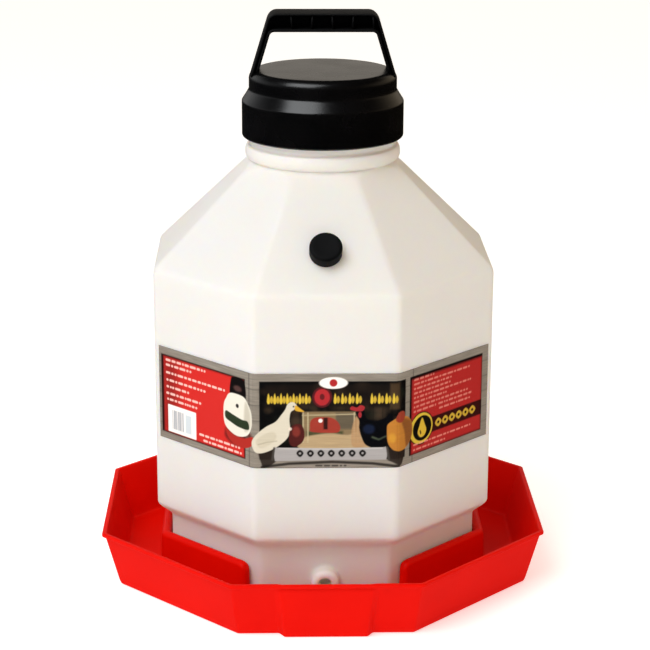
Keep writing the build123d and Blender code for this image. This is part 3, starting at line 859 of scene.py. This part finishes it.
# A printed sheet held as arrays: each call mixes a colour in where a signed distance is negative.
class PrintSheet:
    def __init__(self, u, v, colour, grain):
        self.u, self.v = u, v
        self.ink = np.empty(u.shape + (4,))
        self.ink[..., :3] = linear(colour)[:3]
        self.ink[..., 3] = grain

    # Soft is how many pitches wide the mixed edge is, and grain is what the film's alpha takes there.
    def paint(self, distance, colour, grain=0.0, opacity=1.0, soft=1.0):
        cover = np.clip(0.5 - distance / (label["pitch"] * soft), 0, 1)[..., None] * opacity
        self.ink = self.ink * (1 - cover) + np.array([*linear(colour)[:3], grain]) * cover

    # Signed distance to a box with rounded corners, negative inside.
    def box(self, left, right, low, high, round=0.0):
        du = np.abs(self.u - (left + right) / 2) - (right - left) / 2 + round
        dv = np.abs(self.v - (low + high) / 2) - (high - low) / 2 + round
        return np.hypot(np.maximum(du, 0), np.maximum(dv, 0)) + np.minimum(np.maximum(du, dv), 0) - round

    # Near enough the distance to an ellipse: how far past 1 its own radius is, times the shorter half.
    def disc(self, u, v, across, tall=None):
        tall = tall or across
        return (np.hypot((self.u - u) / across, (self.v - v) / tall) - 1) * min(across, tall)

    # Distance to a line of spots, which narrows along its length by taper.
    def line(self, spots, width, taper=0.0):
        nearest = np.full(self.u.shape, 1e9)
        spans = list(zip(spots[:-1], spots[1:]))
        for index, ((a, b), (c, d)) in enumerate(spans):
            du, dv = c - a, d - b
            share = np.clip(((self.u - a) * du + (self.v - b) * dv) / (du * du + dv * dv), 0, 1)
            along = (index + share) / len(spans)
            gap = np.hypot(self.u - a - share * du, self.v - b - share * dv)
            nearest = np.minimum(nearest, gap - width / 2 * (1 - taper * along))
        return nearest

    # The call that prints and the four shapes, for the drawings to use by their short names.
    def brushes(self):
        return self.paint, self.box, self.disc, self.line, self.blob

    # Signed distance to a closed Catmull-Rom outline through the spots, negative inside.
    def blob(self, spots, steps=6):
        spots = np.asarray(spots, float)
        before, after, beyond = np.roll(spots, 1, 0), np.roll(spots, -1, 0), np.roll(spots, -2, 0)
        t = (np.arange(steps) / steps)[None, :, None]
        p, a, b, c = (x[:, None] for x in (before, spots, after, beyond))
        square, cube = 2 * p - 5 * a + 4 * b - c, 3 * a - p - 3 * b + c
        outline = 0.5 * (2 * a + (b - p) * t + square * t ** 2 + cube * t ** 3).reshape(-1, 2)
        ends = np.roll(outline, -1, 0)
        nearest = np.full(self.u.shape, 1e9)
        inside = np.zeros(self.u.shape, bool)
        for (x0, y0), (x1, y1) in zip(outline, ends):
            du, dv = x1 - x0, y1 - y0
            share = np.clip(((self.u - x0) * du + (self.v - y0) * dv) / (du * du + dv * dv + 1e-9), 0, 1)
            nearest = np.minimum(nearest, np.hypot(self.u - x0 - share * du, self.v - y0 - share * dv))
            crosses = (y0 > self.v) != (y1 > self.v)
            inside ^= crosses & (self.u < x0 + (self.v - y0) * du / (dv if abs(dv) > 1e-9 else 1e-9))
        return np.where(inside, -nearest, nearest)


# Weathered boards: six rows of planks with dark joints, and an upright line at each seam.
def drawBoards(page, seams):
    random = np.random.default_rng(4)
    tall = 2 * labelTall / 6
    for row in range(6):
        low = -labelTall + row * tall
        tone = random.uniform(0.0, 0.32)
        page.paint(page.box(-200, 200, low, low + tall), "#BFB5A8" if row % 2 else "#A79D90", 1.0, tone)
        page.paint(page.box(-200, 200, low - 0.35, low + 0.35), label["woodDark"], 0.6, 0.6, soft=2)
    for seam in seams:
        page.paint(page.box(seam - 0.5, seam + 0.5, -60, 60), label["woodDark"], 0.5, 0.8, soft=1.5)


# Rows of broken bars that stand for small print: each row is (left, height, width).
def drawBars(page, rows, tall, colour, opacity=0.85):
    random = np.random.default_rng(21)
    for left, v, width in rows:
        u = left
        while u < left + width:
            word = min(random.uniform(2.6, 8.5), left + width - u)
            end = u + max(word - 1.2 - tall, 0.2)
            page.paint(page.line([(u, v), (end, v)], tall), colour, opacity=opacity)
            u += word


# The front: a dark barn panel, a yellow leaf band, a roundel, birds and a plain ribbon.
def drawFront(page):
    paint, box, disc, line, blob = page.brushes()
    black, yellow = label["black"], label["yellow"]
    paint(box(-54, 66.6, -33, 34), black)
    random = np.random.default_rng(9)
    for _ in range(70):
        u, v = random.uniform(-48, 60), random.uniform(-21, 29)
        tone = ["#3A2A18", "#1E2418", "#4A3620", "#2A2014", "#5A4630"][random.integers(5)]
        paint(disc(u, v, random.uniform(2, 7), random.uniform(1.5, 5)), tone, 0.6, 0.5, soft=8)
    paint(box(-49, 61, 12.5, 31.0), "#1E1510", 0.3, 0.72, soft=5)
    paint(box(52, 60, 10, 32), "#5A4326", 0.5, 0.6, soft=4)
    for u in np.arange(-44, 60, 7.5):                                   # upright barn boards
        paint(line([(u, -20), (u, 12)], 0.5), "#0C0906", 0.2, 0.7, soft=2)

    # barn, ground and hedge in the middle distance
    paint(box(-19, 27, -14, 8), "#8A7450", 0.5, soft=3)
    paint(box(8, 25, -7, 7), "#5A5344", 0.5, 0.8, soft=3)
    paint(box(-16, 14, -14, -8.5), "#3C4422", 0.4, 0.85, soft=4)
    paint(blob([(-19, -15), (-10, -12), (4, -10.5), (18, -12), (27, -9), (34, -20), (31, -24),
                (-19, -24)]), "#BBA077", 0.5, soft=3)
    paint(blob([(-13, -6), (-12.5, 0), (-9, 3), (-4, 3.5), (3, 3.2), (8, 1), (11.4, -4), (10, -9.5),
                (-1, -10), (-12, -9)]), "#A5301E", 0.3, soft=1.5)
    paint(box(-2, 1.5, -7, 3), "#3A120C", 0.2, soft=2)
    paint(disc(-4.4, 0.4, 1.7), label["white"], 0.0, 0.9)
    for u in (-18.4, -14.6, 23, 26):
        paint(line([(u, -18), (u, 7)], 1.1), "#C4B48C", 0.4, 0.8)
    paint(line([(-19, 5), (26, 6)], 1.0), "#C4B48C", 0.4, 0.7)
    paint(blob([(22, -22), (21, -8), (24, 3), (28, 4), (30, -4), (28, -14), (34, -21)]), "#B98F62", 0.5,
          0.8, soft=2)

    # the title band: even rows of upright yellow leaves, each with a small diamond
    for u in (*np.linspace(-45.5, -15, 7), *np.linspace(8.4, 32.2, 5)[:4], *np.linspace(38.15, 56, 4)):
        paint(blob([(u - 2.2, 17), (u - 1.0, 24), (u + 0.3, 17), (u - 1.0, 14.6)], 3), yellow)
        paint(blob([(u + 0.2, 18.2), (u + 1.5, 21.7), (u + 2.9, 18.2), (u + 1.5, 15.0)], 3), "#C4A222")

    # a plain red roundel, and a plain white oval with a red dot above it
    paint(disc(-3.1, 20.4, 8.0, 8.8), "#5C0A14")
    paint(disc(-3.1, 20.4, 6.2, 7.0), "#B4141F")
    paint(disc(-3.1, 20.8, 2.0, 2.6), "#6A0C14")
    paint(disc(6.0, 32.6, 11.5, 5.0), label["white"])
    paint(disc(6.0, 32.6, 3.2, 3.2), "#B3141A")

    # a white goose on the left, its feet on a dark root
    root = [(-55, -25), (-48, -23), (-41, -25), (-39, -31), (-42, -36), (-50, -40), (-53, -35)]
    paint(blob(root), "#2E221B", 0.5, 0.95, soft=2)
    goose = "#D8D0BC"
    paint(blob([(-60.5, -19), (-57, -12), (-49, -5), (-41, -0.5), (-36.5, 5), (-33, 10), (-31, 14.6),
                (-27.6, 16.4), (-24.6, 15), (-23.6, 12.4), (-26, 9.8), (-28.6, 7.6), (-29.6, 1),
                (-29, -7), (-31, -14), (-37, -20), (-45, -25), (-53, -27.5), (-58, -26)]), goose, 0.12)
    paint(blob([(-57, -17), (-50, -11), (-43, -9), (-40, -13), (-44, -19), (-53, -23)]), "#C9BFA6", 0.3,
          0.6, soft=3)
    paint(line([(-55, -20), (-48, -18), (-40, -17)], 0.9), "#A0957A", 0.2, 0.6, soft=2)
    paint(blob([(-24.6, 13.6), (-20, 10.2), (-17.6, 8.3), (-21, 8.2), (-25, 9.6)]), "#D9A51A")
    paint(disc(-26.2, 12.6, 0.7), "#15100C")

    # a red-brown hen, a black cock and a buff hen on a second root
    paint(blob([(-29, -20), (-30, -12), (-28.4, -5.6), (-25, -2.6), (-20, -3), (-17.4, -9), (-18.4, -17),
                (-24, -21.6)]), "#571410", 0.5)
    paint(disc(-24, -9, 3.2, 4.4), "#8E2C20", 0.3, 0.8, soft=3)
    paint(disc(-29, -6.6, 1.4), "#E8D8C8", 0.0, 0.8)
    cock = "#06080F"
    paint(blob([(24, 6.6), (26, 9.4), (30, 9.8), (31.5, 6), (33.6, 2), (40, 0), (47, 2), (52, 6), (55, 2),
                (52, -8), (48, -16), (42, -22.6), (33, -21), (29, -14), (27, -6), (27, 0)]), cock, 0.1)
    paint(disc(35, -7, 4.6, 4.0), "#0B1C3C", 0.0, 0.9, soft=4)
    paint(line([(38, -14), (43, -16), (49, -13)], 1.4, 0.6), "#5C6A50", 0.0, 0.6, soft=3)
    paint(blob([(19.6, 10), (21, 12.6), (25, 11.6), (28, 13.6), (31.4, 12), (29.6, 8.6), (24, 8.6)]),
          "#A81822")
    paint(disc(27.6, 5.4, 1.3, 2.6), "#A81822")
    paint(blob([(51, -25), (60, -24), (66, -26), (65, -33), (62, -39), (55, -36), (50, -33)]), "#2E221B",
          0.5, 0.95, soft=2)
    buff = "#C07A1C"
    paint(blob([(49.6, -8), (50.4, -3), (55, 0.6), (59, 3), (63, 2), (69, 1.4), (74, -4), (75.6, -12),
                (73, -20), (66, -26), (56, -25.6), (50.6, -19)]), buff, 0.3)
    paint(blob([(62, 0), (70, -1), (74.6, -6), (74, -18), (68, -24), (66, -12)]), "#7E4412", 0.5, 0.8,
          soft=4)
    paint(disc(54, -15, 3.0, 4.0), "#D69A20", 0.2, 0.7, soft=4)
    paint(blob([(57, 0), (58.4, 5), (61, 7.4), (65.4, 6.4), (66, 1), (62, -2.4)]), "#9C3418", 0.2)

    # a plain ribbon with folded ends and a shadow under it
    paint(line([(-52, -39.4), (-30, -36.6), (5, -35.2), (38, -36.6), (60, -39.4)], 2.4), "#17110D", 0.2,
          0.9, soft=2)
    paint(blob([(-41, -22.6), (-36, -22.8), (4, -23.2), (44, -22.8), (49, -22.6), (49.6, -32),
                (44, -33.4), (4, -33.6), (-36, -34.2), (-41.6, -33)]), "#A9A5A4", 0.3)
    paint(line([(-38, -23.4), (4, -24.2), (46, -23.4)], 0.9), "#C8C4C2", 0.2, 0.8, soft=2)
    for u in np.linspace(-21, 30, 7):                  # a row of studs, where a title would be
        paint(blob([(u - 3.0, -27.6), (u, -24.6), (u + 3.0, -27.6), (u, -31.0)], 3), "#16110F")
        paint(disc(u, -27.7, 0.9), "#A9A5A4")
    for side, u in ((-1, -42), (1, 50)):
        paint(line([(u, -23), (u + side * 1.5, -33)], 1.8), "#4A443E", 0.1, 0.9, soft=1.5)
    drawBars(page, [(-7.9, -38.4, 27)], 1.5, "#2A2520")


# The left side: a red field, rows of bars, a white box of stripes and a small picture of a waterer.
def drawLeft(page):
    paint, box, disc, _, blob = page.brushes()
    white = label["white"]
    paint(box(-50.6, 50.2, -34.8, 34), "#0E0606")
    paint(box(-47.6, 48.6, -33.6, 32.4), label["red"], soft=4)
    paint(box(-50, -30, -33.5, 32.5), "#4A0806", 0.0, 0.55, soft=30)
    drawBars(page, [(-44, 29.8, 48), (-44, 25.4, 32), (-44, 18.7, 71), (-43.5, 12.3, 49),
                    (-43.5, 6.4, 29), (-44, 0.5, 44), (-43, -4.7, 35)], 2.0, "#FFD0C4", 0.8)
    paint(box(-43, -8.6, -33.2, -9.2, 0.6), white)
    for index, u in enumerate(np.arange(-37.6, -24, 1.75)):
        paint(box(u, u + (1.1 if index % 3 else 0.6), -30, -13.4), "#52607A", 0.0, 0.85)
    paint(box(-21.5, -14.5, -30, -14), "#B9C8D2", 0.0, 0.7, soft=2)
    drawBars(page, [(-4, -26.8, 50), (1, -31.2, 45)], 1.9, "#FFD0C4", 0.85)

    # the small waterer: cap, bottle, band and tray
    paint(blob([(30, -10), (26, -20), (38, -26), (55, -22), (57, -12), (45, -8)]), "#5A0F08", 0.0, 0.8,
          soft=6)
    paint(blob([(33.4, 16), (33.6, 30), (37, 33), (47, 33), (50, 30), (50, 16)]), "#120C0C")
    paint(disc(41.5, 24, 4.5, 2.4), "#5A3A36", 0.0, 0.8, soft=3)
    paint(blob([(25.5, -8), (25, 6), (28, 13), (33, 18.4), (47, 18.6), (53, 14), (57, 6), (57, -6),
                (52, -14), (41, -17), (31, -14)]), "#E4DECF")
    paint(blob([(49, -10), (50, 14), (55.6, 7), (56, -6)]), "#B5AD98", 0.0, 0.7, soft=5)
    paint(disc(41, 9, 1.8), "#2A2422")
    paint(blob([(27, -4), (27.4, 2), (36, 0.4), (46, -1.6), (53, -1.8), (54, -8.4), (43, -9),
                (33, -6.6)]), "#2C3A24", 0.2)
    paint(blob([(28, -13), (36, -16.6), (48, -17.4), (57, -14), (59.6, -16), (57, -22), (48, -25.6),
                (36, -24.4), (29, -19)]), "#B01E10")


# The right side: a red field, rows of bars, and a ringed drop beside a dark band.
def drawRight(page):
    paint, box, disc, line, blob = page.brushes()
    yellow = label["yellow"]
    paint(box(-45.8, 46.4, -34.2, 34), "#120404")
    paint(box(-43.2, 45.4, -33.2, 31), "#B4100A", soft=5)
    drawBars(page, [(-40, 30.2, 24), (-40, 26.4, 72), (-40, 22.5, 48), (-40, 18.6, 45), (-40, 14.7, 74),
                    (-40, 10.8, 42), (-40, 6.7, 70), (-40, 2.8, 28), (-9, 2.8, 44), (-8, -1.4, 40)], 1.7,
             "#F09080", 0.62)
    paint(box(-22, 46.4, -20.2, -6.8), "#170705", 0.0, 0.92, soft=2)
    for u in np.linspace(-9.5, 34.5, 6):
        paint(blob([(u - 4.2, -13.4), (u, -9.6), (u + 4.2, -13.4), (u, -17.2)], 3), "#C9A21E")
        paint(blob([(u - 1.5, -13.4), (u, -12), (u + 1.5, -13.4), (u, -14.8)], 3), "#170705")
    paint(disc(-31, -13.5, 15.2, 14.2), "#2A0A06")
    paint(disc(-31, -13.5, 14.2, 13.2), yellow)
    paint(disc(-29.8, -13.5, 11.6, 10.8), "#12100A")
    paint(blob([(-30, -4.6), (-26.6, -11), (-24.6, -16), (-26.6, -20), (-30, -21.4), (-33.4, -20),
                (-35.4, -16), (-33.4, -11)]), "#D8B21E")
    paint(line([(-32.4, -15.4), (-31.4, -18)], 1.3), "#12100A")
    drawBars(page, [(-40, -26.0, 74), (-40, -30.4, 40)], 1.6, "#F09080", 0.7)


# One panel of the label, as long as a face: a point's place along it is an arc length, flat up to
# the rounded edge and then round it. All three drawings are printed on it, each moved to its place.
def makeLabelPanel(name, side, left, right):
    corner = label["cornerBlend"]
    flatHalf = (bodyHalf - corner) * eighthTan
    full = flatHalf + corner * pi / 8
    across = np.linspace(-full if left is None else left, full if right is None else right,
                         int(2 * full / label["pitch"]) + 1)
    tall = np.linspace(-labelTall + 0.05, labelTall - 0.05, int(2 * labelTall / label["pitch"]) + 1)
    u, v = np.meshgrid(across, tall)
    out = bodyHalf + label["proud"]
    over = np.clip(np.abs(u) - flatHalf, 0, None) / corner
    reach = corner + label["proud"]
    x = np.sign(u) * (np.minimum(np.abs(u), flatHalf) + reach * np.sin(over))
    depth = out - reach * (1 - np.cos(over))
    facing = radians(-90 + 45 * side)
    points = np.stack([x * -sin(facing) + depth * cos(facing), x * cos(facing) + depth * sin(facing),
                       v + labelMiddle], axis=-1).reshape(-1, 3)
    page = PrintSheet(u, v, label["wood"], 1.0)
    along = u + 2 * full * side                        # arc length from the middle of the front
    page.u = along
    drawBoards(page, label["seams"])
    for place, draw in ((-1, drawLeft), (1, drawRight), (0, drawFront)):
        page.u = along - 2 * full * place
        draw(page)
    rows, columns = u.shape
    piece = makePiece(name, points, [gridQuads(rows, columns)], labelFilm, "bottle", "label")
    ink = piece.data.color_attributes.new("ink", "FLOAT_COLOR", "POINT")
    ink.data.foreach_set("color", page.ink.reshape(-1).astype(np.float32))
    film = piece.modifiers.new("film", "SOLIDIFY")
    film.thickness = label["film"] * mm
    film.offset = -1
    return piece


makeLabelPanel("labelFront", 0, None, None)
makeLabelPanel("labelLeft", -1, -label["leftReach"], None)
makeLabelPanel("labelRight", 1, None, label["rightReach"])
print("label printed")


stage = {"floor": "#F4F3F1", "glow": 0.46, "floorHalf": 14.0}
lamps = {
    "key": {"place": (-0.97, -1.16, 2.04), "aim": (0, 0, 0.28), "size": 1.6, "watts": 38,
            "colour": (0.97, 1.0, 1.02)},
    "fill": {"place": (0.35, -2.4, 0.62), "aim": (0, 0, 0.1), "size": 0.9, "watts": 8,
             "colour": (1.0, 0.97, 0.93), "mirrored": False},
}
dome = {
    "below": 0.02, "front": 0.42, "frontMirrored": 0.05, "back": 1.15, "backMirrored": 0.6,
    "bandLow": 0.35, "bandHigh": 0.6, "overhead": 0.05, "left": "#FBFDFF", "right": "#EED8B6",
}
view = {                                               # the fount stands turned a little from the camera
    "turn": radians(1.4), "away": 1.7113, "height": 0.7260, "tip": radians(73.27), "roll": radians(-0.22),
    "lens": 113.52, "shift": 0.0012,
}


# A plain pale sheet, large enough that its edges lie out of the picture.
def makeFloor():
    half = stage["floorHalf"]
    mesh = bpy.data.meshes.new("floorSheet")
    corners = [(-half, -half, 0), (half, -half, 0), (half, half, 0), (-half, half, 0)]
    mesh.from_pydata(corners, [], [(0, 1, 2, 3)])
    floorSheet = bpy.data.objects.new("floorSheet", mesh)
    bpy.context.collection.objects.link(floorSheet)
    material, tree, surface, _ = newMaterial("paleStudioPaper")
    shader = addNode(tree, "ShaderNodeBsdfPrincipled", {
        "Base Color": linear(stage["floor"]), "Roughness": 0.9, "Specular IOR Level": 0.2,
        "Emission Color": linear("#FFFFFF"), "Emission Strength": stage["glow"]})
    tree.links.new(shader.outputs["BSDF"], surface)
    mesh.materials.append(material)
    floorSheet.visible_glossy = False                  # the black plastic mirrors a dark studio


# A square softbox that points at its aim.
def makeLamp(name, place, aim, size, watts, colour, mirrored=True):
    light = bpy.data.lights.new(name, "AREA")
    light.shape = "SQUARE"
    light.size = size
    light.energy = watts
    light.color = colour
    lamp = bpy.data.objects.new(name, light)
    bpy.context.collection.objects.link(lamp)
    lamp.location = place
    lamp.visible_glossy = mirrored
    lamp.rotation_euler = (Vector(aim) - Vector(place)).to_track_quat("-Z", "Y").to_euler()


makeFloor()
for lampName, lampValues in lamps.items():
    makeLamp(lampName, **lampValues)

# The studio's soft surround: brighter behind than in front and warmer on the right. Mirrored in a
# surface it is dark in front, below the horizon and overhead, as a room is past a pale backdrop.
def makeDome():
    world = bpy.data.worlds.new("studio")
    bpy.context.scene.world = world
    world.use_nodes = True
    tree = world.node_tree
    place = addNode(tree, "ShaderNodeTexCoord")
    ray = addNode(tree, "ShaderNodeLightPath").outputs["Is Glossy Ray"]
    ways = addNode(tree, "ShaderNodeSeparateXYZ", {"Vector": place.outputs["Generated"]})

    def span(value, low, high, start, end):
        return addNode(tree, "ShaderNodeMapRange", {
            "Value": value, "From Min": low, "From Max": high, "To Min": start, "To Max": end,
        }).outputs["Result"]

    side = span(ways.outputs["X"], -0.7, 0.7, 0, 1)
    front = span(ray, 0, 1, dome["front"], dome["frontMirrored"])
    back = span(ray, 0, 1, dome["back"], dome["backMirrored"])
    depth = span(ways.outputs["Y"], -0.5, 0.9, front, back)
    low = span(ways.outputs["Z"], -0.08, 0.12, dome["below"], 1.0)
    high = span(ways.outputs["Z"], dome["bandLow"], dome["bandHigh"], 1.0, dome["overhead"])
    band = addNode(tree, "ShaderNodeMath", {0: low, 1: high}, operation="MULTIPLY")
    seen = span(ray, 0, 1, 1.0, band.outputs[0])
    strength = addNode(tree, "ShaderNodeMath", {0: seen, 1: depth}, operation="MULTIPLY")
    background = tree.nodes["Background"]
    tree.links.new(ramp(tree, side, [(0, dome["left"]), (1, dome["right"])]), background.inputs["Color"])
    tree.links.new(strength.outputs[0], background.inputs["Strength"])


makeDome()
bpy.context.scene.view_settings.view_transform = "Standard"

cameraData = bpy.data.cameras.new("camera")
cameraData.sensor_width = 36.0
cameraData.lens = view["lens"]
cameraData.shift_x = view["shift"]
camera = bpy.data.objects.new("camera", cameraData)
bpy.context.collection.objects.link(camera)
camera.location = (-view["away"] * sin(view["turn"]), -view["away"] * cos(view["turn"]), view["height"])
camera.rotation_euler = (view["tip"], view["roll"], -view["turn"])
bpy.context.scene.camera = camera
print("stage made")
